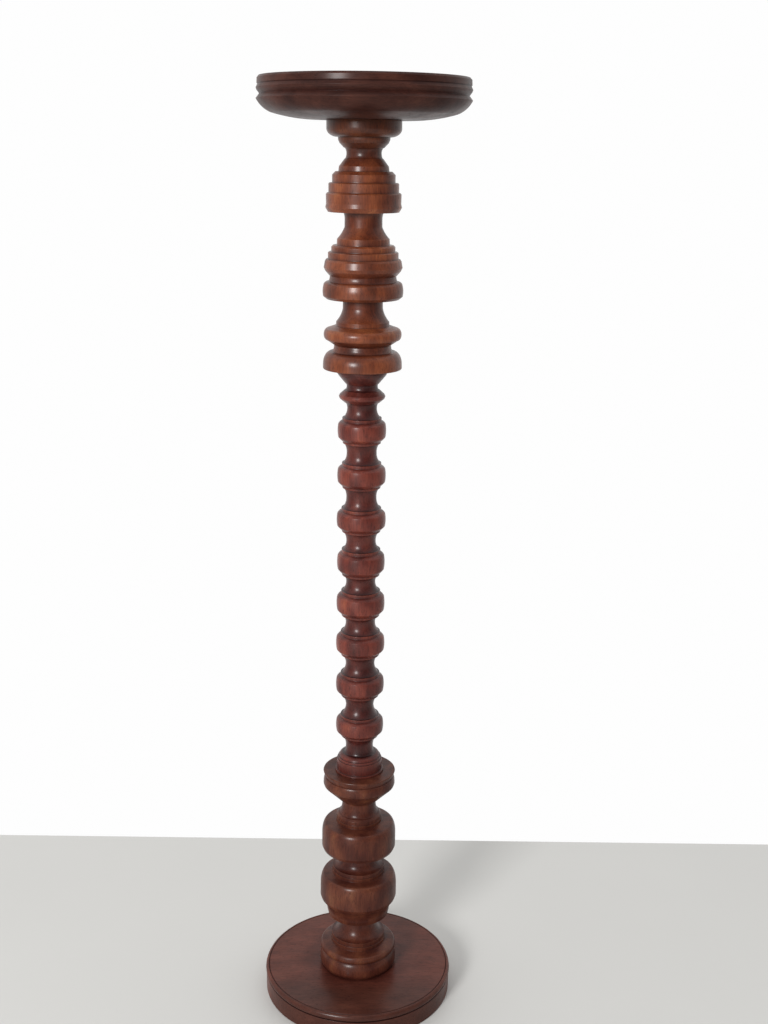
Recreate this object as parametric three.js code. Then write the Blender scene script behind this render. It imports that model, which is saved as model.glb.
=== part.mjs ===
// A tall turned wooden pedestal: a moulded base disc, three turned lengths of column and a round top dish.
// Millimetres, +Z up, the floor at z = 0, and every piece turned about the Z axis.

import * as THREE from 'three';

// Facets round each piece, and chords in each curved cut.
const DISC_FACETS = 32;
const COLUMN_FACETS = 18;
const SHAFT_FACETS = 16;
const CHORD_LENGTH = 7;
const FEWEST_CHORDS = 2;
const MOST_CHORDS = 5;

// Heights of the joints between the pieces, and of the top.
const BASE_TOP = 27;
const LOWER_TOP = 257;
const SHAFT_TOP = 681.5;
const UPPER_TOP = 912.3;
const DISH_TOP = 950;

// One cut takes the outline to a height above the floor and a radius, and a step only changes the radius.
const step = (radius) => ({ radius, form: 'line' });
const line = (height, radius) => ({ height, radius, form: 'line' });
const round = (height, radius) => ({ height, radius, form: 'round' });
const cove = (height, radius) => ({ height, radius, form: 'cove' });
const bow = (height, radius, swell) => ({ height, radius, form: 'bow', swell });

// The shaft's barrels: the height of each middle, the stretch, the largest radius, and the neck above.
// Their spacing and height wander by a millimetre or so, as they do on hand-turned work.
const BARREL_MIDDLES = [308.4, 354.1, 399, 442.3, 485.7, 530, 575.5, 620.6];
const BARREL_STRETCHES = [0.93, 0.99, 1, 1.05, 1.07, 0.96, 1, 1];
const BARREL_RADII = [24.6, 24.7, 24.8, 24.4, 24, 24.5, 24, 23.8];
const NECK_RADII = [14.2, 14.7, 14.9, 14.7, 14.7, 15, 14.8, 14.5];

// A barrel's parts: heights from its middle, and radii as shares of its largest one.
const BARREL = {
  filletFoot: -12.8,
  filletTop: -10.8,
  sideFoot: -6.6,
  sideTop: 6.4,
  ringFoot: 9.6,
  ringTop: 12.7,
  neck: 22.2,
  neckSwell: -0.9,
  underFillet: 0.735,
  fillet: 0.79,
  side: 0.975,
  sideSwell: 0.6,
  ring: 0.81,
  overRing: 0.75,
};

// The neck ring on a drum: two fine bands, the upper one smaller by a quirk.
const RING_QUIRK = 0.8;
const neckRing = (foot, top, radius) => [
  step(radius),
  line((foot + top) / 2, radius),
  step(radius - RING_QUIRK),
  line(top, radius - RING_QUIRK),
];

// A stepped shoulder on a bell: an upright tier with its upper edge eased.
const tier = (top, radius, ease) => [
  step(radius),
  line(top - ease, radius),
  line(top, radius - ease),
];

const BASE_CUTS = [
  step(98.8),
  line(1, 99.7),
  line(19, 99.7),
  // the groove under the nosing
  line(19.9, 98),
  // the nosing, with a fine quirk inside it
  round(22.9, 100.3),
  round(BASE_TOP, 97.4),
  line(26, 96.7),
  line(BASE_TOP, 96),
];

const LOWER_CUTS = [
  // the foot: a torus and a bead over it
  step(37.6),
  bow(34, 40.9, 0.9),
  round(47, 34.4),
  line(47.6, 39.6),
  line(49.2, 40.5),
  round(54.2, 37.7),
  line(56, 29.3),
  ...neckRing(56, 64.8, 29.3),
  cove(82, 17.8),
  line(84, 17.8),
  // the lower drum, over a stepped hollow
  line(89, 32.2),
  line(93, 33.2),
  bow(108, 39.7, -1.4),
  line(111, 40.7),
  line(123.5, 40.6),
  round(137, 36.4),
  line(138.4, 28.3),
  ...neckRing(138.4, 146, 28.3),
  cove(157, 19.8),
  // the upper drum
  line(166.6, 37.6),
  line(170, 39),
  line(184.6, 39),
  round(196.8, 34.8),
  line(198.2, 24),
  ...neckRing(198.2, 206, 24),
  line(208, 21.6),
  cove(221, 17.6),
  // the hollow-edged disc that carries the shaft
  cove(225.4, 21.8),
  line(240.2, 36.8),
  line(242.4, 37.5),
  round(250.4, 35.4),
  line(254.2, 37),
  line(256.2, 37.6),
  line(LOWER_TOP, 37.3),
];

const SHAFT_FOOT_CUTS = [
  // the foot: a low plinth, an upright band, a fillet and a bead
  step(25.2),
  line(259, 25),
  step(23.5),
  line(270.4, 23.4),
  step(22.4),
  line(273, 22.2),
  step(21.2),
  round(277.6, 16),
  cove(286, 14.1),
];

const SHAFT_HEAD_CUTS = [
  // the astragal: two slopes to a rounded edge
  cove(648.6, 17.4),
  line(652.4, 21.9),
  line(654.4, 22.7),
  line(656.4, 21.8),
  line(660.4, 17.4),
  cove(664.2, 15.05),
  // the cone under the bells
  cove(667, 16.3),
  line(674.8, 22.9),
  line(677.4, 24.5),
  line(SHAFT_TOP, 24.9),
];

const UPPER_CUTS = [
  // the lowest bell: a lipped drum, a fillet and a torus
  step(37.7),
  line(682.4, 38.2),
  line(686.5, 38.1),
  round(698.2, 30.6),
  step(29),
  line(703, 27.6),
  line(704.4, 27.2),
  line(709.6, 34.8),
  round(714.6, 37.5),
  round(720.6, 33.4),
  line(723, 27),
  step(25.7),
  line(726.8, 25.5),
  bow(739.5, 19.2, -1),
  line(748.4, 19.1),
  // the middle bell: two tori and two tiers
  step(34.8),
  line(751, 38),
  bow(761.2, 37.8, 0.6),
  round(765, 33),
  step(32.8),
  line(770, 31.7),
  line(774.8, 36),
  line(778, 37.5),
  line(784, 36.4),
  line(785.8, 35.2),
  ...tier(792.6, 33.5, 0.9),
  ...tier(798.8, 30.4, 1.6),
  step(25.2),
  line(804.6, 24.9),
  bow(815.5, 17.9, -0.7),
  line(822.5, 17.8),
  cove(829.3, 20),
  // the top bell: a drum with a bead at its lip and two tiers
  step(33.6),
  line(833.4, 36),
  line(837, 35.3),
  line(845.6, 35.5),
  line(847, 34.2),
  ...tier(856, 33.1, 0.9),
  ...tier(866.2, 29.7, 3),
  step(23.9),
  line(870.8, 23.3),
  line(877.6, 18.1),
  cove(882.6, 16.4),
  // the swept neck, and the collar that carries the dish
  cove(887.4, 18.8),
  line(891.6, 22.9),
  line(894.4, 24.2),
  line(896.8, 24.4),
  round(904.6, 35.1),
];

const DISH_CUTS = [
  // the bowl
  step(54),
  bow(918, 86.6, 0.9),
  bow(930, 99.7, 1.6),
  // the V groove, the half-round bead and the upper band
  line(934.2, 96.5),
  line(937.4, 98.9),
  line(939.4, 99.6),
  line(941.6, 98.5),
  line(942.5, 98),
  line(943.3, 98.8),
  line(948, 98.6),
  line(DISH_TOP, 96.9),
];

// The wood's colour on each piece, and the sheen of its varnish.
const VARNISH = { roughness: 0.35, metalness: 0 };
const COLOURS = {
  base_disc: 0x51302a,
  lower_column: 0x5e382f,
  beaded_shaft: 0x643a35,
  upper_column: 0x6f4232,
  top_dish: 0x482f2a,
};

// How far across and up a cut has gone at a share of its length.
// A round stands upright where it is widest, and a cove where it is narrowest.
function progress(form, narrowing, share) {
  if (form === 'line' || form === 'bow') {
    return { across: share, up: share };
  }
  const turn = share * Math.PI / 2;
  const uprightFirst = (form === 'round') === narrowing;
  const early = Math.sin(turn);
  const late = 1 - Math.cos(turn);
  return uprightFirst ? { across: late, up: early } : { across: early, up: late };
}

// Points along one cut from the last corner, without that corner itself.
function cutPoints(corner, cut) {
  const out = cut.radius - corner.x;
  const rise = (cut.height ?? corner.y) - corner.y;
  const length = Math.hypot(out, rise);
  if (length === 0) {
    return [];
  }
  const curveChords = THREE.MathUtils.clamp(Math.round(length / CHORD_LENGTH), FEWEST_CHORDS, MOST_CHORDS);
  const chords = cut.form === 'line' ? 1 : curveChords;
  return Array.from({ length: chords }, (_, i) => {
    const share = (i + 1) / chords;
    const { across, up } = progress(cut.form, out < 0, share);
    const swell = cut.form === 'bow' ? 4 * cut.swell * share * (1 - share) : 0;
    const radius = corner.x + out * across + swell * rise / length;
    const height = corner.y + rise * up - swell * out / length;
    return new THREE.Vector2(radius, height);
  });
}

// The outline of one piece, from the axis at its underside to the axis at its top.
function outline(bottom, top, cuts) {
  const points = [new THREE.Vector2(0, bottom)];
  for (const cut of [...cuts, line(top, cuts.at(-1).radius), step(0)]) {
    points.push(...cutPoints(points.at(-1), cut));
  }
  return points;
}

// The cuts of one barrel, from the neck below it to the neck above it.
function barrelCuts(middle, stretch, radius, neck) {
  const height = (part) => middle + stretch * BARREL[part];
  return [
    bow(height('filletFoot'), BARREL.underFillet * radius, BARREL.neckSwell),
    step(BARREL.fillet * radius),
    line(height('filletTop'), BARREL.fillet * radius),
    line(height('sideFoot'), BARREL.side * radius),
    bow(height('sideTop'), BARREL.side * radius, BARREL.sideSwell),
    line(height('ringFoot'), BARREL.ring * radius),
    line(height('ringTop'), BARREL.ring * radius),
    step(BARREL.overRing * radius),
    bow(middle + BARREL.neck, neck, BARREL.neckSwell),
  ];
}

// One turned solid with its axis on Z.
function turned(name, bottom, top, cuts, facets) {
  const geometry = new THREE.LatheGeometry(outline(bottom, top, cuts), facets);
  geometry.rotateX(Math.PI / 2);
  const material = new THREE.MeshStandardMaterial({ color: COLOURS[name], ...VARNISH });
  const mesh = new THREE.Mesh(geometry, material);
  mesh.name = name;
  return mesh;
}

const barrels = BARREL_MIDDLES.flatMap((middle, i) => {
  return barrelCuts(middle, BARREL_STRETCHES[i], BARREL_RADII[i], NECK_RADII[i]);
});
const shaftCuts = [...SHAFT_FOOT_CUTS, ...barrels, ...SHAFT_HEAD_CUTS];

const pedestal = new THREE.Group();
pedestal.add(
  turned('base_disc', 0, BASE_TOP, BASE_CUTS, DISC_FACETS),
  turned('lower_column', BASE_TOP, LOWER_TOP, LOWER_CUTS, COLUMN_FACETS),
  turned('beaded_shaft', LOWER_TOP, SHAFT_TOP, shaftCuts, SHAFT_FACETS),
  turned('upper_column', SHAFT_TOP, UPPER_TOP, UPPER_CUTS, COLUMN_FACETS),
  turned('top_dish', UPPER_TOP, DISH_TOP, DISH_CUTS, DISC_FACETS),
);

export default pedestal;
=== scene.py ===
"""A tall turned wooden pedestal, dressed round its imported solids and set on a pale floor."""

import logging
import math
from collections.abc import Sequence
from dataclasses import dataclass
from enum import Enum

import bpy
import numpy as np
from mathutils import Matrix, Vector


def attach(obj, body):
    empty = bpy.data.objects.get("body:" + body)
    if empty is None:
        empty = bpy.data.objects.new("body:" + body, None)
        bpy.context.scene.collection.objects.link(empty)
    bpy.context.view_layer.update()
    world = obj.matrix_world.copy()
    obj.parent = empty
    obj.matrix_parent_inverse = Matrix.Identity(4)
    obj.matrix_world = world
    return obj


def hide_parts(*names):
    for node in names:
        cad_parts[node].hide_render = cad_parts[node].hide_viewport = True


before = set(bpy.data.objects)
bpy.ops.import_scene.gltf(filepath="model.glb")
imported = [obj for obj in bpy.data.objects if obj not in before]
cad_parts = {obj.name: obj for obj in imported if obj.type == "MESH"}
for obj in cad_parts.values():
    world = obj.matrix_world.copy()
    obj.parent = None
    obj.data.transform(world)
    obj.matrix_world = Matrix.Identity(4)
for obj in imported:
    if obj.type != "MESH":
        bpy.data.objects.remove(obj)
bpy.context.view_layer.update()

LOG = logging.getLogger("pedestal")
BODY = "root"
MM = 0.001
TINY = 1e-9

BASE_TOP = 27.0
LOWER_TOP = 257.0
SHAFT_TOP = 681.5
UPPER_TOP = 912.3
DISH_TOP = 950.0
DISC_FACETS = 160
COLUMN_FACETS = 96
SHAFT_FACETS = 80

Colour = tuple[float, float, float]
Span = tuple[float, float]
Value = bpy.types.NodeSocket | float | Sequence[float]


class Form(Enum):
    """How a cut of the turning gets from one corner of the outline to the next."""

    LINE = "line"
    ROUND = "round"
    COVE = "cove"
    BOW = "bow"


class Grain(Enum):
    """The way a piece's grain runs: the axes to read as across, across and along."""

    UPRIGHT = ("X", "Y", "Z")
    LEVEL = ("Y", "Z", "X")


class Axis(Enum):
    """An axis of the wood, after its place is turned to run along the grain."""

    FIRST_ACROSS = "X"
    SECOND_ACROSS = "Y"
    ALONG = "Z"


@dataclass(frozen=True)
class Cut:
    """One cut of the turning, in millimetres.

    A cut with no height is a step, which only changes the radius.
    """

    radius: float
    height: float | None = None
    form: Form = Form.LINE
    swell: float = 0.0


Cuts = tuple[Cut, ...]


def step(radius: float) -> Cut:
    """A flat shoulder to a radius.

    Args:
        radius: The radius that it ends at.

    Returns:
        The cut.
    """
    return Cut(radius)


def line(height: float, radius: float) -> Cut:
    """A straight cut to a height and a radius.

    Args:
        height: The height that it ends at.
        radius: The radius that it ends at.

    Returns:
        The cut.
    """
    return Cut(radius, height)


def ovolo(height: float, radius: float) -> Cut:
    """A convex quarter round that stands upright where it is widest.

    Args:
        height: The height that it ends at.
        radius: The radius that it ends at.

    Returns:
        The cut.
    """
    return Cut(radius, height, Form.ROUND)


def cove(height: float, radius: float) -> Cut:
    """A hollow quarter round that stands upright where it is narrowest.

    Args:
        height: The height that it ends at.
        radius: The radius that it ends at.

    Returns:
        The cut.
    """
    return Cut(radius, height, Form.COVE)


def bow(height: float, radius: float, swell: float) -> Cut:
    """A cut that swells from its straight line.

    Args:
        height: The height that it ends at.
        radius: The radius that it ends at.
        swell: How far its middle leaves the line, outwards where positive.

    Returns:
        The cut.
    """
    return Cut(radius, height, Form.BOW, swell)


def neck_ring(foot: float, top: float, radius: float, quirk: float = 0.8) -> Cuts:
    """The neck ring on a drum: two fine bands, the upper one smaller by a quirk.

    Args:
        foot: The height of its foot.
        top: The height of its top.
        radius: The radius of its lower band.
        quirk: How much smaller the upper band is.

    Returns:
        Its cuts.
    """
    middle = (foot + top) / 2
    upper = radius - quirk
    return step(radius), line(middle, radius), step(upper), line(top, upper)


def tier(top: float, radius: float, ease: float) -> Cuts:
    """An upright tier of a bell with its upper edge eased.

    Args:
        top: The height of its top.
        radius: Its radius.
        ease: The size of the eased edge.

    Returns:
        Its cuts.
    """
    return step(radius), line(top - ease, radius), line(top, radius - ease)


@dataclass(frozen=True)
class Section:
    """Half the section of a turned piece, from the axis below to the axis above.

    Sizes are in millimetres: the fine chords of its curves, the ease on its corners, the support
    rows that keep flat faces flat, and the widest plain row. Angles are in radians.
    """

    bottom: float
    top: float
    cuts: Cuts
    chord: float = 0.9
    fewest_chords: int = 5
    shortest: float = 0.001
    corner_ease: float = 0.35
    corner_chords: int = 4
    corner_from: float = math.radians(12)
    corner_to: float = 2.4
    corner_share: float = 0.35
    support: float = 0.45
    supported_from: float = 1.8
    widest_row: float = 6.0

    def rows(self) -> np.ndarray:
        """Traces the cuts, eases the corners and adds support rows.

        Returns:
            The radius and height of each row of the turning, in millimetres.
        """
        return self._supported(self._eased(self._traced()))

    def _traced(self) -> list[Vector]:
        """Follows the cuts from the axis below to the axis above.

        Returns:
            Their corner points and curve points.
        """
        points = [Vector((0.0, self.bottom))]
        closing = (line(self.top, self.cuts[-1].radius), step(0.0))
        for cut in self.cuts + closing:
            points.extend(self._along(points[-1], cut))
        return points

    def _along(self, corner: Vector, cut: Cut) -> list[Vector]:
        """Points along one cut.

        Args:
            corner: Where the last cut ended.
            cut: The cut to follow.

        Returns:
            The points after the corner, up to the cut's end.
        """
        out = cut.radius - corner.x
        rise = (corner.y if cut.height is None else cut.height) - corner.y
        length = math.hypot(out, rise)
        if length < self.shortest:
            return []
        curve_chords = max(self.fewest_chords, round(length / self.chord))
        chords = 1 if cut.form is Form.LINE else curve_chords
        points = []
        for i in range(1, chords + 1):
            share = i / chords
            across, up = self._progress(cut.form, out < 0, share)
            swell = 4 * cut.swell * share * (1 - share)
            radius = corner.x + out * across + swell * rise / length
            points.append(Vector((radius, corner.y + rise * up - swell * out / length)))
        return points

    @staticmethod
    def _progress(form: Form, narrowing: bool, share: float) -> tuple[float, float]:
        """How far across and up a cut has gone at a share of its length.

        Args:
            form: The cut's form.
            narrowing: Whether the radius gets smaller on the way up.
            share: The share of the cut that is done.

        Returns:
            The shares of the way across and of the way up.
        """
        if form in (Form.LINE, Form.BOW):
            return share, share
        turn = share * math.pi / 2
        early, late = math.sin(turn), 1 - math.cos(turn)
        upright_first = (form is Form.ROUND) == narrowing
        return (late, early) if upright_first else (early, late)

    def _eased(self, points: list[Vector]) -> list[Vector]:
        """Rounds each real corner of the outline by a little.

        Args:
            points: The traced outline.

        Returns:
            The outline with a small curve in place of each corner.
        """
        eased = [points[0]]
        for before, corner, after in zip(points, points[1:], points[2:]):
            way_in, way_out = corner - before, after - corner
            turn = way_in.angle(way_out)
            if turn < self.corner_from:
                eased.append(corner)
                continue
            back = self.corner_ease * math.tan(min(turn, self.corner_to) / 2)
            back = min(back, self.corner_share * min(way_in.length, way_out.length))
            start = corner - back * way_in.normalized()
            end = corner + back * way_out.normalized()
            for k in range(self.corner_chords + 1):
                t = k / self.corner_chords
                eased.append((1 - t) ** 2 * start + 2 * t * (1 - t) * corner + t * t * end)
        eased.append(points[-1])
        return eased

    def _supported(self, points: list[Vector]) -> np.ndarray:
        """Adds rows close to the ends of long faces, and splits wide ones.

        Args:
            points: The eased outline.

        Returns:
            All the rows.
        """
        rows = [points[0]]
        for start, end in zip(points, points[1:]):
            length = (end - start).length
            if length > self.supported_from:
                near = self.support / length
                splits = max(1, math.ceil(length / self.widest_row))
                inner = [near + (1 - 2 * near) * k / splits for k in range(splits + 1)]
                rows.extend(start.lerp(end, share) for share in inner)
            rows.append(end)
        return np.array([tuple(row) for row in rows])


@dataclass(frozen=True)
class WearAndShade:
    """Where varnish gathers, painted shade darkens the hollows and hands rub, read from a section's
    shape.

    Reaches are in millimetres along the section.
    """

    # The quirk and cove reaches set which hollows and joints get darker: partly gathered varnish,
    # partly painted shade.
    quirk_polish_and_shade_reach: float = 2.6
    hollow_polish_and_shade_reach: float = 24.0
    edge_reach: float = 2.2
    edge_gain: float = 1.7
    edge_least: float = 0.15
    nearest: float = 0.12

    def shares(self, rows: np.ndarray, all_rows: np.ndarray) -> dict[str, np.ndarray]:
        """The wear, gathered varnish and painted shade on each row of a piece.

        Args:
            rows: The rows of one piece.
            all_rows: The rows of every piece, so that a joint counts as a hollow too.

        Returns:
            The lathe's named shares.
        """
        return {
            "quirk": self._hollows(rows, all_rows, self.quirk_polish_and_shade_reach),
            "cove": self._hollows(rows, all_rows, self.hollow_polish_and_shade_reach),
            "edge": self._edges(rows),
        }

    def _hollows(self, rows: np.ndarray, all_rows: np.ndarray, reach: float) -> np.ndarray:
        """How far each row lies in a quirk or hollow.

        Args:
            rows: The rows of one piece.
            all_rows: The rows of every piece.
            reach: How far away a side of the hollow may be.

        Returns:
            A share for each row, 0 in the open and 1 deep in a groove.
        """
        along, lean, gap = self._lean(rows, all_rows)
        near = (gap > self.nearest) & (gap < reach)
        sides = []
        for side in (along < 0, along > 0):
            sides.append(np.where(near & side, lean, 0.0).max(axis=1))
        return np.clip((sides[0] + sides[1]) / 2, 0, 1)

    def _edges(self, rows: np.ndarray) -> np.ndarray:
        """How sharp an edge each row lies on.

        Args:
            rows: The rows of one piece.

        Returns:
            A share for each row, 0 on flats and hollows and 1 on a sharp edge.
        """
        _, lean, gap = self._lean(rows, rows)
        near = (gap > self.nearest) & (gap < self.edge_reach)
        mean = np.where(near, lean, 0.0).sum(axis=1) / np.maximum(near.sum(axis=1), 1)
        return np.clip(-self.edge_gain * mean - self.edge_least, 0, 1)

    @staticmethod
    def _lean(rows: np.ndarray, others: np.ndarray) -> tuple[np.ndarray, ...]:
        """Compares each row with the others in its own directions.

        Args:
            rows: The rows to judge.
            others: The rows around them.

        Returns:
            The distance along the surface, the sine of the height above it, and the whole gap.
        """
        run = np.gradient(rows, axis=0)
        run /= np.maximum(np.linalg.norm(run, axis=1, keepdims=True), TINY)
        out = np.stack([run[:, 1], -run[:, 0]], axis=1)
        offset = others[None, :, :] - rows[:, None, :]
        gap = np.linalg.norm(offset, axis=2)
        along = np.einsum("ijk,ik->ij", offset, run)
        height = np.einsum("ijk,ik->ij", offset, out)
        return along, height / np.maximum(gap, TINY), gap


class Sketch:
    """Shorthand for laying out one node tree."""

    def __init__(self, tree: bpy.types.NodeTree) -> None:
        """Starts from an empty tree.

        Args:
            tree: The tree to fill.
        """
        self.tree = tree
        tree.nodes.clear()

    def add(
        self,
        kind: str,
        feeds: dict[str | int, Value] | None = None,
        **settings: object,
    ) -> bpy.types.Node:
        """Adds a node.

        Args:
            kind: The node's type.
            feeds: Values or sockets for its inputs, by name or place.
            **settings: Its own properties.

        Returns:
            The new node.
        """
        node = self.tree.nodes.new(kind)
        for name, value in settings.items():
            setattr(node, name, value)
        for key, value in (feeds or {}).items():
            self.feed(node.inputs[key], value)
        return node

    def feed(self, socket: bpy.types.NodeSocket, value: Value) -> None:
        """Links or sets one input.

        Args:
            socket: The input.
            value: A socket to link, or a plain value.
        """
        if isinstance(value, bpy.types.NodeSocket):
            self.tree.links.new(value, socket)
        else:
            socket.default_value = value

    def math(self, operation: str, *values: Value) -> bpy.types.NodeSocket:
        """One step of arithmetic.

        Args:
            operation: The Math node's operation.
            *values: Its inputs in order.

        Returns:
            The result.
        """
        return self.add("ShaderNodeMath", dict(enumerate(values)), operation=operation).outputs[0]

    def vector(self, operation: str, *values: Value) -> bpy.types.NodeSocket:
        """One step of vector arithmetic.

        Args:
            operation: The Vector Math node's operation.
            *values: Its inputs in order.

        Returns:
            The resulting vector.
        """
        node = self.add("ShaderNodeVectorMath", dict(enumerate(values)), operation=operation)
        return node.outputs["Vector"]

    def noise(self, place: Value, scale: float, detail: float = 2.0) -> bpy.types.Node:
        """A noise texture in space.

        Args:
            place: Where it is read.
            scale: Its scale.
            detail: Its octaves.

        Returns:
            The node, with its Fac and Color outputs.
        """
        feeds = {"Vector": place, "Scale": scale, "Detail": detail}
        return self.add("ShaderNodeTexNoise", feeds)

    def bands(self, distance: Value, width: float, detail: float) -> bpy.types.NodeSocket:
        """Uneven bands along one distance.

        Args:
            distance: The distance that they follow.
            width: The usual width of a band.
            detail: Finer bands within them.

        Returns:
            A factor about one half.
        """
        feeds = {"W": distance, "Scale": 1 / width, "Detail": detail}
        node = self.add("ShaderNodeTexNoise", feeds, noise_dimensions="1D")
        return node.outputs["Fac"]

    def range(self, value: Value, span: Span, result: Span = (0.0, 1.0)) -> bpy.types.NodeSocket:
        """Maps one range of values smoothly to another.

        Args:
            value: The value to map.
            span: Where the range starts and ends.
            result: The result at its start and at its end.

        Returns:
            The mapped value.
        """
        feeds = dict(enumerate((value, *span, *result)))
        node = self.add("ShaderNodeMapRange", feeds, interpolation_type="SMOOTHSTEP")
        return node.outputs["Result"]

    def mix(self, share: Value, under: Value, over: Value, blend: str = "MIX") -> bpy.types.NodeSocket:
        """Mixes two colours.

        Args:
            share: How much of the second shows.
            under: The first colour.
            over: The second colour.
            blend: The way they mix.

        Returns:
            The mixed colour.
        """
        node = self.add("ShaderNodeMix", data_type="RGBA", blend_type=blend, clamp_factor=True)
        self.feed(node.inputs["Factor"], share)
        for socket, value in ((node.inputs[6], under), (node.inputs[7], over)):
            plain = not isinstance(value, bpy.types.NodeSocket)
            self.feed(socket, (*value, 1.0) if plain else value)
        return node.outputs[2]


@dataclass(frozen=True)
class SideDarkening:
    """A darker tint towards one side of a piece, by places in metres along one axis of its wood."""

    clear: float
    full: float
    tint: Colour
    axis: Axis = Axis.ALONG


@dataclass(frozen=True)
class Texture:
    """One noise in the wood: its stretch along the grain, its scale and its octaves."""

    stretch: float
    scale: float
    detail: float

    def read(self, sketch: Sketch, place: bpy.types.NodeSocket) -> bpy.types.Node:
        """Lays the noise out.

        Args:
            sketch: The tree to lay out.
            place: The place along the grain.

        Returns:
            The noise node, with its Fac and Color outputs.
        """
        drawn = sketch.vector("MULTIPLY", place, (1.0, 1.0, self.stretch))
        return sketch.noise(drawn, self.scale, self.detail)


@dataclass(frozen=True)
class Figure:
    """The textures of the wood, and how much of its growth each of them makes."""

    drift: Texture = Texture(0.3, 9.0, 3.0)
    streaks: Texture = Texture(0.09, 150.0, 3.0)
    fibres: Texture = Texture(0.09, 900.0, 2.0)
    pores: Texture = Texture(0.16, 1300.0, 1.0)
    blotch: Texture = Texture(0.5, 60.0, 2.0)
    clouds: Texture = Texture(1.0, 45.0, 3.0)
    zone_detail: float = 2.0
    ring_detail: float = 1.0
    growth_start: float = -0.215
    zone_share: float = 0.35
    ring_share: float = 0.1
    streak_share: float = 0.15
    blotch_share: float = 0.83
    stops: tuple[float, ...] = (0.18, 0.42, 0.62, 0.9)
    fibre_span: Span = (0.25, 0.75)
    fibre_shade: Span = (0.82, 1.18)
    pore_span: Span = (0.6, 0.7)
    pore_depth: float = 0.45


@dataclass(frozen=True)
class PolishAndShade:
    """Old varnish with painted shade in the hollows, rubbed edges and an uneven sheen, with relief in
    metres.
    """

    # The cove and quirk spans set how dark the hollows are painted: partly gathered varnish, partly
    # painted shade.
    hollow_polish_and_shade_span: Span = (0.15, 0.8)
    quirk_polish_and_shade_span: Span = (0.3, 0.85)
    quirk_polish_and_shade_depth: Span = (0.0, 0.8)
    edge_rub: float = 0.12
    cloud_span: Span = (0.3, 0.7)
    shinier: float = 0.06
    duller: float = 0.08
    pore_dulling: float = 0.2
    relief_strength: float = 0.12
    relief_depth: float = 0.0003


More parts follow.
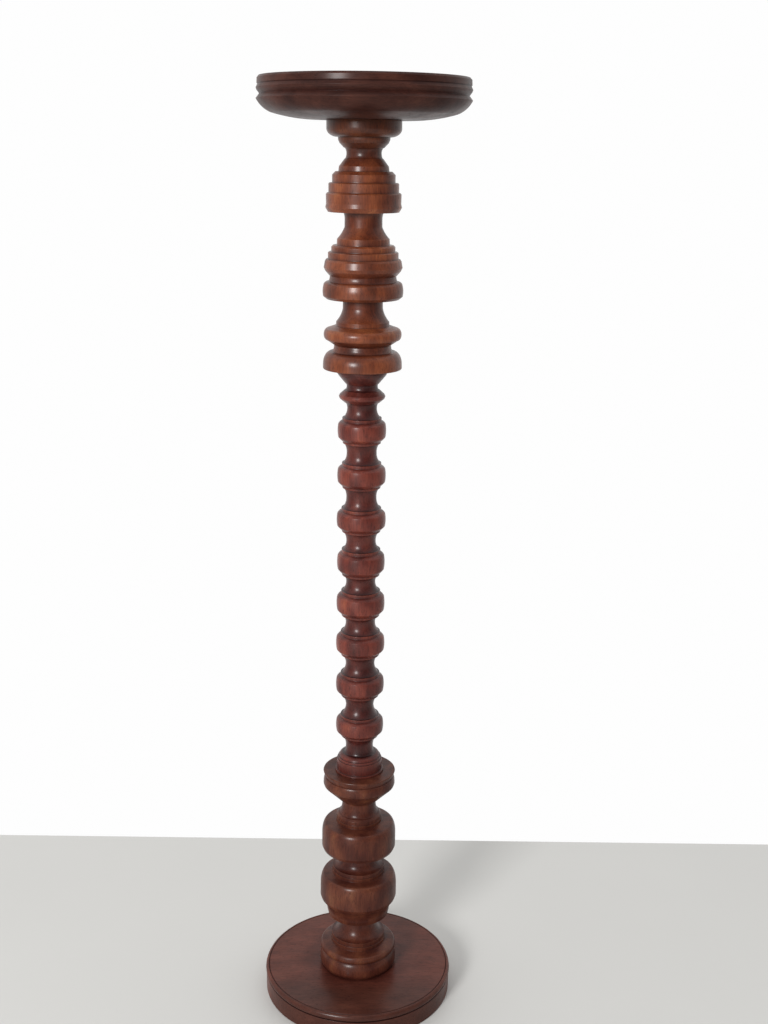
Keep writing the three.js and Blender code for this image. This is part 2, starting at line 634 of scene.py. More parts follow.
@dataclass(frozen=True)
class VarnishedWood:
    """A varnished hardwood: growth rings about a pith, streaks, fibres, pores and a clear coat.

    Colours are linear, from the darkest growth to the palest. Sizes are in metres.
    """

    name: str
    deep: Colour
    dark: Colour
    fair: Colour
    pale: Colour
    # The groove colour darkens the pores, and the quirks with gathered varnish and painted shade; the
    # cove tint darkens the broad hollows with both too.
    groove: Colour = (0.012, 0.004, 0.003)
    hollow_polish_and_shade_tint: Colour = (0.58, 0.5, 0.56)
    grain: Grain = Grain.UPRIGHT
    pith: tuple[float, float] = (0.03, 0.075)
    zone_width: float = 0.011
    ring_width: float = 0.0026
    bend: float = 0.012
    roughness: float = 0.45
    gloss: float = 0.1
    coat: float = 0.35
    coat_roughness: float = 0.25
    side_darkening: SideDarkening | None = None
    figure: Figure = Figure()
    polish_and_shade: PolishAndShade = PolishAndShade()

    def material(self) -> bpy.types.Material:
        """Builds the wood's node material.

        Returns:
            The material.
        """
        material = bpy.data.materials.new(self.name)
        material.use_nodes = True
        sketch = Sketch(material.node_tree)
        place = self._place(sketch)
        colour, relief, pores = self._figured(sketch, place)
        colour = self._polished_and_shaded(sketch, self._side_darkened(sketch, place, colour))
        shader = sketch.add("ShaderNodeBsdfPrincipled", {
            "Base Color": colour,
            "Roughness": self._sheen(sketch, place, pores),
            "Specular IOR Level": self.gloss,
            "Coat Weight": self.coat,
            "Coat Roughness": self.coat_roughness,
            "Normal": self._relief(sketch, relief),
        })
        sketch.add("ShaderNodeOutputMaterial", {"Surface": shader.outputs["BSDF"]})
        return material

    def _place(self, sketch: Sketch) -> bpy.types.NodeSocket:
        """The place on the piece with its last axis along the grain.

        Args:
            sketch: The tree to lay out.

        Returns:
            The turned place.
        """
        coordinates = sketch.add("ShaderNodeTexCoord").outputs["Object"]
        axes = sketch.add("ShaderNodeSeparateXYZ", {0: coordinates})
        feeds = {i: axes.outputs[axis] for i, axis in enumerate(self.grain.value)}
        return sketch.add("ShaderNodeCombineXYZ", feeds).outputs[0]

    def _bent(self, sketch: Sketch, place: bpy.types.NodeSocket) -> bpy.types.NodeSocket:
        """The place with the slow bends of the tree's growth.

        Args:
            sketch: The tree to lay out.
            place: The place along the grain.

        Returns:
            The bent place.
        """
        drift = self.figure.drift.read(sketch, place).outputs["Color"]
        drift = sketch.vector("SUBTRACT", drift, (0.5, 0.5, 0.5))
        drift = sketch.vector("MULTIPLY", drift, (2 * self.bend, 2 * self.bend, 0.0))
        return sketch.vector("ADD", place, drift)

    def _reach(self, sketch: Sketch, bent: bpy.types.NodeSocket) -> bpy.types.NodeSocket:
        """The distance from the pith.

        Args:
            sketch: The tree to lay out.
            bent: The bent place.

        Returns:
            The distance.
        """
        flat = sketch.vector("SUBTRACT", bent, (*self.pith, 0.0))
        flat = sketch.vector("MULTIPLY", flat, (1.0, 1.0, 0.0))
        return sketch.add("ShaderNodeVectorMath", {0: flat}, operation="LENGTH").outputs["Value"]

    def _figured(
        self,
        sketch: Sketch,
        place: bpy.types.NodeSocket,
    ) -> tuple[bpy.types.NodeSocket, ...]:
        """Rings, streaks, fibres and pores.

        Args:
            sketch: The tree to lay out.
            place: The place along the grain.

        Returns:
            The wood's colour, the height of its surface, and its pores.
        """
        figure = self.figure
        bent = self._bent(sketch, place)
        reach = self._reach(sketch, bent)
        zones = sketch.bands(reach, self.zone_width, figure.zone_detail)
        rings = sketch.bands(reach, self.ring_width, figure.ring_detail)
        streaks, fibres, pits, blotch = (
            texture.read(sketch, bent).outputs["Fac"]
            for texture in (figure.streaks, figure.fibres, figure.pores, figure.blotch)
        )
        pores = sketch.range(pits, figure.pore_span)

        growth = sketch.math("MULTIPLY_ADD", zones, figure.zone_share, figure.growth_start)
        growth = sketch.math("MULTIPLY_ADD", rings, figure.ring_share, growth)
        growth = sketch.math("MULTIPLY_ADD", streaks, figure.streak_share, growth)
        growth = sketch.math("MULTIPLY_ADD", blotch, figure.blotch_share, growth)
        ramp = sketch.add("ShaderNodeValToRGB", {"Fac": growth})
        self._set_stops(ramp.color_ramp)
        colour = ramp.outputs["Color"]
        grey = sketch.range(fibres, figure.fibre_span, figure.fibre_shade)
        grey = sketch.add("ShaderNodeCombineColor", {0: grey, 1: grey, 2: grey}).outputs[0]
        colour = sketch.mix(1.0, colour, grey, "MULTIPLY")
        colour = sketch.mix(sketch.math("MULTIPLY", pores, figure.pore_depth), colour, self.groove)
        relief = sketch.math("MULTIPLY_ADD", pores, -1.0, fibres)
        return colour, relief, pores

    def _set_stops(self, ramp: bpy.types.ColorRamp) -> None:
        """Sets the ramp from the darkest growth to the palest.

        Args:
            ramp: The ramp to set.
        """
        colours = (self.deep, self.dark, self.fair, self.pale)
        for position in self.figure.stops[len(ramp.elements):]:
            ramp.elements.new(position)
        for element, position, colour in zip(ramp.elements, self.figure.stops, colours):
            element.position = position
            element.color = (*colour, 1.0)

    def _side_darkened(
        self,
        sketch: Sketch,
        place: bpy.types.NodeSocket,
        colour: bpy.types.NodeSocket,
    ) -> bpy.types.NodeSocket:
        """The darker tint at one side, on a piece that has it.

        Args:
            sketch: The tree to lay out.
            place: The place along the grain.
            colour: The bare wood's colour.

        Returns:
            The darkened colour.
        """
        if self.side_darkening is None:
            return colour
        axes = sketch.add("ShaderNodeSeparateXYZ", {0: place}).outputs
        share = sketch.range(axes[self.side_darkening.axis.value], (self.side_darkening.clear, self.side_darkening.full))
        return sketch.mix(share, colour, sketch.mix(1.0, colour, self.side_darkening.tint, "MULTIPLY"))

    def _polished_and_shaded(self, sketch: Sketch, colour: bpy.types.NodeSocket) -> bpy.types.NodeSocket:
        """Dark varnish with painted shade in the quirks and hollows, and rubbed edges.

        Args:
            sketch: The tree to lay out.
            colour: The bare wood's colour.

        Returns:
            The colour with its varnish, painted shade and rubbed edges.
        """
        polish_and_shade = self.polish_and_shade
        quirk, hollow_polish_and_shade, edge = (
            sketch.add("ShaderNodeAttribute", attribute_name=name).outputs["Fac"]
            for name in Lathe.SHARES
        )
        # Painted shade and gathered varnish: the broad hollows, then the quirks, get darker.
        hollow_darkened = sketch.mix(1.0, colour, self.hollow_polish_and_shade_tint, "MULTIPLY")
        colour = sketch.mix(sketch.range(hollow_polish_and_shade, polish_and_shade.hollow_polish_and_shade_span), colour, hollow_darkened)
        quirk_polish_and_shade = sketch.range(quirk, polish_and_shade.quirk_polish_and_shade_span, polish_and_shade.quirk_polish_and_shade_depth)
        colour = sketch.mix(quirk_polish_and_shade, colour, self.groove)
        return sketch.mix(sketch.math("MULTIPLY", edge, polish_and_shade.edge_rub), colour, self.pale)

    def _sheen(
        self,
        sketch: Sketch,
        place: bpy.types.NodeSocket,
        pores: bpy.types.NodeSocket,
    ) -> bpy.types.NodeSocket:
        """An uneven sheen, duller in the pores.

        Args:
            sketch: The tree to lay out.
            place: The place along the grain.
            pores: Where the pores are.

        Returns:
            The roughness.
        """
        polish_and_shade = self.polish_and_shade
        cloudy = self.figure.clouds.read(sketch, place).outputs["Fac"]
        sheen = (self.roughness - polish_and_shade.shinier, self.roughness + polish_and_shade.duller)
        rough = sketch.range(cloudy, polish_and_shade.cloud_span, sheen)
        return sketch.math("MULTIPLY_ADD", pores, polish_and_shade.pore_dulling, rough)

    def _relief(self, sketch: Sketch, relief: bpy.types.NodeSocket) -> bpy.types.NodeSocket:
        """The fine relief of the fibres under the varnish.

        Args:
            sketch: The tree to lay out.
            relief: The height of the surface.

        Returns:
            The bumped normal.
        """
        strength, depth = self.polish_and_shade.relief_strength, self.polish_and_shade.relief_depth
        feeds = {"Strength": strength, "Distance": depth, "Height": relief}
        return sketch.add("ShaderNodeBump", feeds).outputs["Normal"]


class Lathe:
    """A Geometry Nodes lathe: it sweeps a row of section points round the Z axis.

    The wander's scale and its fade near the axis are per metre, and the merge distance is in metres.
    """

    INPUTS = {
        "Section": "NodeSocketGeometry",
        "Facets": "NodeSocketInt",
        "Wander": "NodeSocketFloat",
        "Seed": "NodeSocketFloat",
        "Finish": "NodeSocketMaterial",
    }
    # The quirk and cove shares darken the hollows, partly as gathered varnish and partly as painted
    # shade; the edge share marks rubbed edges.
    SHARES = ("quirk", "cove", "edge")
    WANDER_SCALE = 40.0
    WANDER_DETAIL = 1.0
    WANDER_FADE = 200.0
    MERGE_DISTANCE = 2e-6

    def __init__(self) -> None:
        """Builds the node tree."""
        self.tree = bpy.data.node_groups.new("lathe", "GeometryNodeTree")
        for name, kind in self.INPUTS.items():
            self.tree.interface.new_socket(name, in_out="INPUT", socket_type=kind)
        self.tree.interface.new_socket("Turning", in_out="OUTPUT", socket_type="NodeSocketGeometry")
        self._lay_out(Sketch(self.tree))

    def _lay_out(self, sketch: Sketch) -> None:
        """Lays out the tree.

        Args:
            sketch: The empty tree.
        """
        given = sketch.add("NodeGroupInput").outputs
        size = sketch.add("GeometryNodeAttributeDomainSize", {0: given["Section"]})
        count = size.outputs["Point Count"]
        columns = sketch.math("ADD", given["Facets"], 1)
        grid = sketch.add("GeometryNodeMeshGrid", {"Vertices X": columns, "Vertices Y": count})
        place = sketch.add("GeometryNodeInputPosition").outputs[0]
        axes = sketch.add("ShaderNodeSeparateXYZ", {0: place})
        turn = sketch.math("MULTIPLY", sketch.math("ADD", axes.outputs["X"], 0.5), 2 * math.pi)
        last = sketch.math("SUBTRACT", count, 1)
        row = sketch.math("MULTIPLY", sketch.math("ADD", axes.outputs["Y"], 0.5), last)
        row = sketch.math("ROUND", row)

        mesh = grid.outputs["Mesh"]
        for name in self.SHARES:
            feeds = {"Name": name}
            named = sketch.add("GeometryNodeInputNamedAttribute", feeds, data_type="FLOAT")
            share = self._sample(sketch, given["Section"], named.outputs[0], row, "FLOAT")
            feeds = {"Geometry": mesh, "Name": name, "Value": share}
            stored = sketch.add("GeometryNodeStoreNamedAttribute", feeds, data_type="FLOAT")
            mesh = stored.outputs[0]
        feeds = {"Geometry": mesh, "Name": "UVMap", "Value": grid.outputs["UV Map"]}
        kinds = {"data_type": "FLOAT2", "domain": "CORNER"}
        mesh = sketch.add("GeometryNodeStoreNamedAttribute", feeds, **kinds).outputs[0]

        point = self._sample(sketch, given["Section"], place, row, "FLOAT_VECTOR")
        turned = self._turned(sketch, point, turn, given)
        for kind, feeds in (
            ("GeometryNodeSetPosition", {"Position": turned}),
            ("GeometryNodeMergeByDistance", {"Distance": self.MERGE_DISTANCE}),
            ("GeometryNodeSetShadeSmooth", {}),
            ("GeometryNodeRealizeInstances", {}),
            ("GeometryNodeSetMaterial", {"Material": given["Finish"]}),
        ):
            mesh = sketch.add(kind, {"Geometry": mesh, **feeds}).outputs[0]
        sketch.add("NodeGroupOutput", {0: mesh})

    @staticmethod
    def _sample(
        sketch: Sketch,
        section: bpy.types.NodeSocket,
        value: bpy.types.NodeSocket,
        row: bpy.types.NodeSocket,
        kind: str,
    ) -> bpy.types.NodeSocket:
        """Reads a value from one row of the section.

        Args:
            sketch: The tree to lay out.
            section: The section's points.
            value: The value to read there.
            row: The row's place in the section.
            kind: The value's data type.

        Returns:
            The value.
        """
        feeds = {"Geometry": section, "Value": value, "Index": row}
        return sketch.add("GeometryNodeSampleIndex", feeds, data_type=kind).outputs[0]

    def _turned(
        self,
        sketch: Sketch,
        point: bpy.types.NodeSocket,
        turn: bpy.types.NodeSocket,
        given: bpy.types.bpy_prop_collection,
    ) -> bpy.types.NodeSocket:
        """Swings a section point round the axis, with the slight wander of hand turning.

        Args:
            sketch: The tree to lay out.
            point: The section point.
            turn: The angle to swing it by.
            given: The tree's inputs.

        Returns:
            The point's place.
        """
        axes = sketch.add("ShaderNodeSeparateXYZ", {0: point}).outputs
        spin = {0: sketch.math("COSINE", turn), 1: sketch.math("SINE", turn)}
        spoke = sketch.add("ShaderNodeCombineXYZ", spin).outputs[0]
        lift = sketch.add("ShaderNodeCombineXYZ", {2: axes["Z"]}).outputs[0]
        ideal = sketch.vector("MULTIPLY_ADD", spoke, axes["X"], lift)
        feeds = {
            "Vector": ideal,
            "W": given["Seed"],
            "Scale": self.WANDER_SCALE,
            "Detail": self.WANDER_DETAIL,
        }
        noise = sketch.add("ShaderNodeTexNoise", feeds, noise_dimensions="4D").outputs["Fac"]
        wander = sketch.math("MULTIPLY", sketch.math("SUBTRACT", noise, 0.5), given["Wander"])
        fade = sketch.math("MINIMUM", sketch.math("MULTIPLY", axes["X"], self.WANDER_FADE), 1.0)
        return sketch.vector("MULTIPLY_ADD", spoke, sketch.math("MULTIPLY", wander, fade), ideal)

    def turn(
        self,
        name: str,
        rows: np.ndarray,
        shares: dict[str, np.ndarray],
        settings: dict[str, object],
    ) -> bpy.types.Object:
        """Turns one piece.

        Args:
            name: The piece's name.
            rows: The radius and height of each row, in millimetres.
            shares: A share for each row, for each of the lathe's named shares.
            settings: The tree's other inputs, by name.

        Returns:
            The piece as a plain mesh object at the origin.
        """
        points = [(radius * MM, 0.0, height * MM) for radius, height in rows]
        section = bpy.data.meshes.new(name + "_section")
        section.from_pydata(points, [(i, i + 1) for i in range(len(points) - 1)], [])
        for share in self.SHARES:
            attribute = section.attributes.new(share, "FLOAT", "POINT")
            attribute.data.foreach_set("value", shares[share].astype(np.float32))
        piece = bpy.data.objects.new(name, section)
        bpy.context.scene.collection.objects.link(piece)
        modifier = piece.modifiers.new("lathe", "NODES")
        modifier.node_group = self.tree
        items = self.tree.interface.items_tree
        sockets = {item.name: item.identifier for item in items if item.in_out == "INPUT"}
        for key, value in settings.items():
            modifier[sockets[key]] = value
        graph = bpy.context.evaluated_depsgraph_get()
        turned = bpy.data.meshes.new_from_object(
            piece.evaluated_get(graph), preserve_all_data_layers=True, depsgraph=graph
        )
        piece.modifiers.remove(modifier)
        piece.data = turned
        bpy.data.meshes.remove(section)
        turned.name = name
        return piece


@dataclass
class TurnedPiece:
    """One turned length of the pedestal, which stands for a solid of the frame.

    Heights are in millimetres.
    """

    node: str
    slot: str
    bottom: float
    top: float
    facets: int
    seed: float
    finish: VarnishedWood
    wander: float = 0.12

    def cuts(self) -> Cuts:
        """The cuts of its outline, from the bottom up.

        Returns:
            The cuts.
        """
        raise NotImplementedError

    def rows(self) -> np.ndarray:
        """The rows of its section, in millimetres.

        Returns:
            The radius and height of each row.
        """
        return Section(self.bottom, self.top, self.cuts()).rows()

    def build(self, lathe: Lathe, wear_and_shade: WearAndShade, all_rows: np.ndarray) -> bpy.types.Object:
        """Turns the piece, dresses it and puts it in the frame.

        Args:
            lathe: The lathe to turn it on.
            wear_and_shade: Where its varnish gathers, painted shade darkens its hollows, and its edges
                rub.
            all_rows: The rows of every piece.

        Returns:
            The finished piece.
        """
        rows = self.rows()
        shares = wear_and_shade.shares(rows, all_rows)
        settings = {
            "Facets": self.facets,
            "Wander": self.wander * MM,
            "Seed": self.seed,
            "Finish": self.finish.material(),
        }
        piece = lathe.turn("turned_" + self.node, rows, shares, settings)
        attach(piece, BODY)
        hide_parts(self.node)
        return piece


@dataclass
class BaseDisc(TurnedPiece):
    """The round base with a nosing and a fine quirk on its top face."""

    side: Cuts = (step(98.8), line(1.0, 99.7), line(19.0, 99.7))
    groove: Cuts = (line(19.9, 98.0),)
    nosing: Cuts = (ovolo(22.9, 100.3), ovolo(BASE_TOP, 97.4))
    quirk: Cuts = (line(26.0, 96.7), line(BASE_TOP, 96.0))

    def cuts(self) -> Cuts:
        """The cuts of its outline, from the floor up.

        Returns:
            The cuts.
        """
        return self.side + self.groove + self.nosing + self.quirk


@dataclass
class LowerColumn(TurnedPiece):
    """The heavy lower turning: a foot, two drums and the disc that carries the shaft."""

    foot: Cuts = (
        step(37.6), bow(34.0, 40.9, 0.9), ovolo(47.0, 34.4), line(47.6, 39.6),
        ovolo(49.2, 40.5), ovolo(54.2, 37.7), line(56.0, 29.3), *neck_ring(56.0, 64.8, 29.3),
        cove(82.0, 17.8), line(84.0, 17.8),
    )
    lower_drum: Cuts = (
        bow(89.0, 32.2, -0.5), line(93.0, 33.2), bow(108.0, 39.7, -1.4), line(111.0, 40.7),
        line(123.5, 40.6), ovolo(137.0, 36.4), line(138.4, 28.3), *neck_ring(138.4, 146.0, 28.3),
        cove(157.0, 19.8),
    )
    upper_drum: Cuts = (
        line(166.6, 37.6), line(170.0, 39.0), line(184.6, 39.0), ovolo(196.8, 34.8),
        line(198.2, 24.0), *neck_ring(198.2, 206.0, 24.0),
        line(208.0, 21.6), cove(221.0, 17.6),
    )
    disc: Cuts = (
        cove(225.4, 21.8), line(240.2, 36.8), line(242.4, 37.5), ovolo(250.4, 35.4),
        line(254.2, 37.0), line(256.2, 37.6), line(LOWER_TOP, 37.3),
    )

    def cuts(self) -> Cuts:
        """The cuts of its outline, from the base up.

        Returns:
            The cuts.
        """
        return self.foot + self.lower_drum + self.upper_drum + self.disc


@dataclass(frozen=True)
class Barrel:
    """One barrel of the shaft: heights from its middle, and radii as shares of its largest one."""

    fillet_foot: float = -12.8
    fillet_top: float = -10.8
    side_foot: float = -6.6
    side_top: float = 6.4
    ring_foot: float = 9.6
    ring_top: float = 12.7
    neck: float = 22.2
    neck_swell: float = -0.9
    under_fillet: float = 0.735
    fillet: float = 0.79
    side: float = 0.975
    swell: float = 0.6
    chamfer_swell: float = 0.25
    shoulder_swell: float = 0.5
    ring: float = 0.81
    over_ring: float = 0.75

    def cuts(self, middle: float, stretch: float, radius: float, neck: float) -> Cuts:
        """The cuts of one barrel, from the neck below it to the neck above it.

        Args:
            middle: The height of its middle.
            stretch: How much taller it is than the usual barrel.
            radius: Its largest radius.
            neck: The radius of the neck above it.

        Returns:
            Its cuts.
        """
        return (
            bow(middle + stretch * self.fillet_foot, self.under_fillet * radius, self.neck_swell),
            step(self.fillet * radius),
            line(middle + stretch * self.fillet_top, self.fillet * radius),
            bow(middle + stretch * self.side_foot, self.side * radius, self.chamfer_swell),
            bow(middle + stretch * self.side_top, self.side * radius, self.swell),
            bow(middle + stretch * self.ring_foot, self.ring * radius, self.shoulder_swell),
            line(middle + stretch * self.ring_top, self.ring * radius),
            step(self.over_ring * radius),
            bow(middle + self.neck, neck, self.neck_swell),
        )


@dataclass
class BeadedShaft(TurnedPiece):
    """The slim shaft: a stepped foot, a row of barrels, an astragal and a cone."""

    barrel: Barrel = Barrel()
    middles: tuple[float, ...] = (308.4, 354.1, 399.0, 442.3, 485.7, 530.0, 575.5, 620.6)
    stretches: tuple[float, ...] = (0.93, 0.99, 1.0, 1.05, 1.07, 0.96, 1.0, 1.0)
    radii: tuple[float, ...] = (24.6, 24.7, 24.8, 24.4, 24.0, 24.5, 24.0, 23.8)
    necks: tuple[float, ...] = (14.2, 14.7, 14.9, 14.7, 14.7, 15.0, 14.8, 14.5)
    foot: Cuts = (
        step(25.2), line(259.0, 25.0), step(23.5), line(270.4, 23.4), step(22.4),
        line(273.0, 22.2), step(21.2), ovolo(277.6, 16.0), cove(286.0, 14.1),
    )
    astragal: Cuts = (
        cove(648.6, 17.4), line(652.4, 21.9), line(654.4, 22.7), line(656.4, 21.8),
        line(660.4, 17.4), cove(664.2, 15.05),
    )
    cone: Cuts = (
        cove(667.0, 16.3), line(674.8, 22.9), line(677.4, 24.5), line(SHAFT_TOP, 24.9),
    )

    def cuts(self) -> Cuts:
        """The cuts of its outline, from the disc up.

        Returns:
            The cuts.
        """
        barrels: Cuts = ()
        for sizes in zip(self.middles, self.stretches, self.radii, self.necks):
            barrels += self.barrel.cuts(*sizes)
        return self.foot + barrels + self.astragal + self.cone


@dataclass
class UpperColumn(TurnedPiece):
    """The three stepped bells, the swept neck and the collar that carries the dish."""

    lowest_bell: Cuts = (
        step(37.7), line(682.4, 38.2), line(686.5, 38.1), ovolo(698.2, 30.6), step(29.0),
        bow(703.0, 27.6, -0.3), line(704.4, 27.2), line(709.6, 34.8), ovolo(714.6, 37.5),
        ovolo(720.6, 33.4), line(723.0, 27.0), step(25.7), line(726.8, 25.5),
        bow(739.5, 19.2, -1.0), line(748.4, 19.1),
    )
    middle_bell: Cuts = (
        step(34.8), line(751.0, 38.0), bow(761.2, 37.8, 0.6), ovolo(765.0, 33.0), step(32.8),
        bow(770.0, 31.7, -0.3), line(774.8, 36.0), line(778.0, 37.5), line(784.0, 36.4),
        line(785.8, 35.2), *tier(792.6, 33.5, 0.9), *tier(798.8, 30.4, 1.6), step(25.2),
        line(804.6, 24.9), bow(815.5, 17.9, -0.7), line(822.5, 17.8), cove(829.3, 20.0),
    )
    top_bell: Cuts = (
        step(33.6), line(833.4, 36.0), line(837.0, 35.3), line(845.6, 35.5), line(847.0, 34.2),
        *tier(856.0, 33.1, 0.9), *tier(866.2, 29.7, 3.0), step(23.9), line(870.8, 23.3),
        line(877.6, 18.1), cove(882.6, 16.4),
    )
    collar: Cuts = (
        cove(887.4, 18.8), line(891.6, 22.9), line(894.4, 24.2), line(896.8, 24.4),
        ovolo(904.6, 35.1),
    )

    def cuts(self) -> Cuts:
        """The cuts of its outline, from the cone up.

        Returns:
            The cuts.
        """
        return self.lowest_bell + self.middle_bell + self.top_bell + self.collar


@dataclass
class TopDish(TurnedPiece):
    """The round top with a bowl-shaped underside and a moulded rim."""

    bowl: Cuts = (step(54.0), bow(918.0, 86.6, 0.9), bow(930.0, 99.7, 1.6))
    groove: Cuts = (line(934.2, 96.5), line(937.4, 98.9))
    bead: Cuts = (line(939.4, 99.6), line(941.6, 98.5), line(942.5, 98.0))
    band: Cuts = (line(943.3, 98.8), line(948.0, 98.6), line(DISH_TOP, 96.9))

    def cuts(self) -> Cuts:
        """The cuts of its outline, from the collar up.

        Returns:
            The cuts.
        """
        return self.bowl + self.groove + self.bead + self.band


BASE_WOOD = VarnishedWood(
    name="base wood", grain=Grain.LEVEL, pith=(0.02, -0.06), gloss=0.06, coat=0.28,
    # Painted shade: the base's top face is darker towards its front.
    side_darkening=SideDarkening(-0.02, -0.065, (0.62, 0.74, 0.78), Axis.FIRST_ACROSS),
    deep=(0.062, 0.016, 0.0105), dark=(0.082, 0.021, 0.013),
    fair=(0.104, 0.0275, 0.017), pale=(0.138, 0.04, 0.024),
)
LOWER_WOOD = VarnishedWood(
    name="lower wood", pith=(0.02, 0.09), hollow_polish_and_shade_tint=(0.76, 0.66, 0.7), gloss=0.08, coat=0.24,
    deep=(0.026, 0.006, 0.004), dark=(0.056, 0.014, 0.0085),
    fair=(0.095, 0.0275, 0.0145), pale=(0.17, 0.065, 0.028),
)
SHAFT_WOOD = VarnishedWood(
    name="shaft wood", pith=(-0.05, 0.06), hollow_polish_and_shade_tint=(0.22, 0.16, 0.24), gloss=0.16, coat=0.32,
    # The shaft is darker towards its foot.
    side_darkening=SideDarkening(0.41, 0.34, (0.82, 0.8, 0.82)),
    deep=(0.041, 0.0078, 0.0058), dark=(0.095, 0.0175, 0.0122),
    fair=(0.156, 0.0328, 0.0208), pale=(0.258, 0.07, 0.036),
)
UPPER_WOOD = VarnishedWood(
    name="upper wood", pith=(0.05, 0.07), hollow_polish_and_shade_tint=(0.63, 0.54, 0.55), gloss=0.16, coat=0.34,
    # Painted shade: the collar under the dish is darker.
    side_darkening=SideDarkening(0.866, 0.894, (0.55, 0.56, 0.55)),
    deep=(0.043, 0.0108, 0.005), dark=(0.104, 0.024, 0.0098),
    fair=(0.181, 0.047, 0.0175), pale=(0.325, 0.115, 0.04),
)
DISH_WOOD = VarnishedWood(
    name="dish wood", grain=Grain.LEVEL, pith=(0.01, 1.02), gloss=0.07, coat=0.18,
    deep=(0.019, 0.0053, 0.004), dark=(0.036, 0.011, 0.0075),
    fair=(0.056, 0.018, 0.012), pale=(0.092, 0.034, 0.021),
)


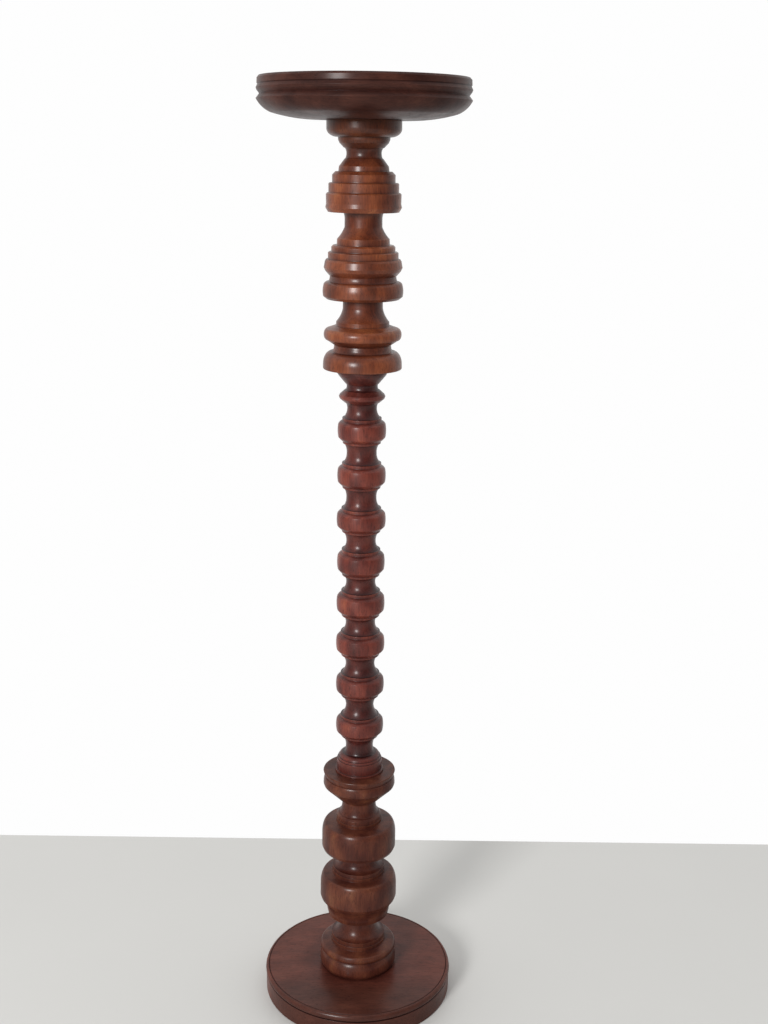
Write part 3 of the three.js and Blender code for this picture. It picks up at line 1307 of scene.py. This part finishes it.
@dataclass(frozen=True)
class Studio:
    """The pale floor, the soft light and the camera, in metres and degrees."""

    floor_colour: Colour = (0.565, 0.56, 0.54)
    floor_width: float = 6.0
    floor_front: float = -4.0
    floor_back: float = 0.31
    floor_roughness: float = 0.6
    floor_clouds: Texture = Texture(1.0, 6.0, 3.0)
    floor_darkest: float = 0.97
    wall_white: float = 0.99
    room_front: float = 0.18
    room_back: float = 1.05
    room_height: float = 0.7
    room_span: Span = (-0.6, 0.7)
    window_turn: float = 27.0
    window_rise: float = 17.5
    window_distance: float = 4.0
    window_size: tuple[float, float] = (0.85, 0.95)
    window_power: float = 152.0
    aim: tuple[float, float, float] = (0.0, 0.0, 0.5)
    eye: tuple[float, float, float] = (0.0227, -1.27, 0.8853)
    pitch: float = 15.32
    roll: float = 0.72
    lens: float = 46.4
    sensor: float = 36.0

    def set_up(self) -> None:
        """Makes the floor, the light, the room and the camera."""
        self._floor()
        self._window()
        self._room()
        self._camera()
        bpy.context.scene.view_settings.view_transform = "Standard"

    def _floor(self) -> None:
        """A plain pale floor that ends a little way behind the pedestal."""
        half = self.floor_width / 2
        corners = [(-half, self.floor_front, 0.0), (half, self.floor_front, 0.0)]
        corners += [(half, self.floor_back, 0.0), (-half, self.floor_back, 0.0)]
        mesh = bpy.data.meshes.new("floor")
        mesh.from_pydata(corners, [], [(0, 1, 2, 3)])
        material = bpy.data.materials.new("pale floor")
        material.use_nodes = True
        sketch = Sketch(material.node_tree)
        place = sketch.add("ShaderNodeTexCoord").outputs["Object"]
        cloudy = self.floor_clouds.read(sketch, place).outputs["Fac"]
        darker = tuple(self.floor_darkest * level for level in self.floor_colour)
        colour = sketch.mix(cloudy, darker, self.floor_colour)
        feeds = {"Base Color": colour, "Roughness": self.floor_roughness}
        shader = sketch.add("ShaderNodeBsdfPrincipled", feeds)
        sketch.add("ShaderNodeOutputMaterial", {"Surface": shader.outputs["BSDF"]})
        mesh.materials.append(material)
        floor = bpy.data.objects.new("floor", mesh)
        bpy.context.scene.collection.objects.link(floor)

    def _window(self) -> None:
        """A soft window to the left of the camera."""
        turn, rise = math.radians(self.window_turn), math.radians(self.window_rise)
        level = math.cos(rise)
        way = Vector((-math.sin(turn) * level, -math.cos(turn) * level, math.sin(rise)))
        light = bpy.data.lights.new("window", "AREA")
        light.shape = "RECTANGLE"
        light.size, light.size_y = self.window_size
        light.energy = self.window_power
        lamp = bpy.data.objects.new("window", light)
        lamp.location = Vector(self.aim) + self.window_distance * way
        lamp.rotation_euler = way.to_track_quat("Z", "Y").to_euler()
        bpy.context.scene.collection.objects.link(lamp)

    def _room(self) -> None:
        """A white room: brighter above and behind, and plain white in view."""
        world = bpy.data.worlds.new("room")
        world.use_nodes = True
        sketch = Sketch(world.node_tree)
        way = sketch.add("ShaderNodeTexCoord").outputs["Generated"]
        axes = sketch.add("ShaderNodeSeparateXYZ", {0: way}).outputs
        depth = sketch.math("MULTIPLY_ADD", axes["Z"], self.room_height, axes["Y"])
        bright = sketch.range(depth, self.room_span, (self.room_front, self.room_back))
        seen = sketch.add("ShaderNodeLightPath").outputs["Is Camera Ray"]
        plain = sketch.math("MULTIPLY", seen, self.wall_white)
        lit = sketch.math("MULTIPLY", sketch.math("SUBTRACT", 1.0, seen), bright)
        strength = sketch.math("ADD", plain, lit)
        feeds = {"Color": (1.0, 1.0, 1.0, 1.0), "Strength": strength}
        backdrop = sketch.add("ShaderNodeBackground", feeds)
        sketch.add("ShaderNodeOutputWorld", {"Surface": backdrop.outputs[0]})
        bpy.context.scene.world = world

    def _camera(self) -> None:
        """A camera at the photograph's viewing angle."""
        data = bpy.data.cameras.new("camera")
        data.sensor_width = self.sensor
        data.lens = self.lens
        camera = bpy.data.objects.new("camera", data)
        tilt = Matrix.Rotation(math.radians(90.0 - self.pitch), 4, "X")
        roll = Matrix.Rotation(math.radians(self.roll), 4, "Z")
        camera.matrix_world = Matrix.Translation(self.eye) @ tilt @ roll
        bpy.context.scene.collection.objects.link(camera)
        bpy.context.scene.camera = camera


def pedestal() -> list[TurnedPiece]:
    """The pedestal's pieces, from the floor up.

    Returns:
        The pieces, each with its node, slot, bottom, top, facets, seed and finish.
    """
    return [
        BaseDisc(
            "base_disc", "base_wood", 0.0, BASE_TOP, facets=DISC_FACETS, seed=1.0, finish=BASE_WOOD
        ),
        LowerColumn(
            "lower_column", "lower_wood", BASE_TOP, LOWER_TOP,
            facets=COLUMN_FACETS, seed=2.0, finish=LOWER_WOOD,
        ),
        BeadedShaft(
            "beaded_shaft", "shaft_wood", LOWER_TOP, SHAFT_TOP,
            facets=SHAFT_FACETS, seed=3.0, finish=SHAFT_WOOD,
        ),
        UpperColumn(
            "upper_column", "upper_wood", SHAFT_TOP, UPPER_TOP,
            facets=COLUMN_FACETS, seed=4.0, finish=UPPER_WOOD,
        ),
        TopDish(
            "top_dish", "dish_wood", UPPER_TOP, DISH_TOP,
            facets=DISC_FACETS, seed=5.0, finish=DISH_WOOD,
        ),
    ]


def main() -> None:
    """Builds the pedestal and its studio."""
    logging.basicConfig(level=logging.INFO, format="%(name)s: %(message)s")
    Studio().set_up()
    lathe, wear_and_shade = Lathe(), WearAndShade()
    pieces = pedestal()
    all_rows = np.concatenate([piece.rows() for piece in pieces])
    for piece in pieces:
        made = piece.build(lathe, wear_and_shade, all_rows)
        LOG.info("%s: %d faces", made.name, len(made.data.polygons))


if __name__ == "__main__":
    main()
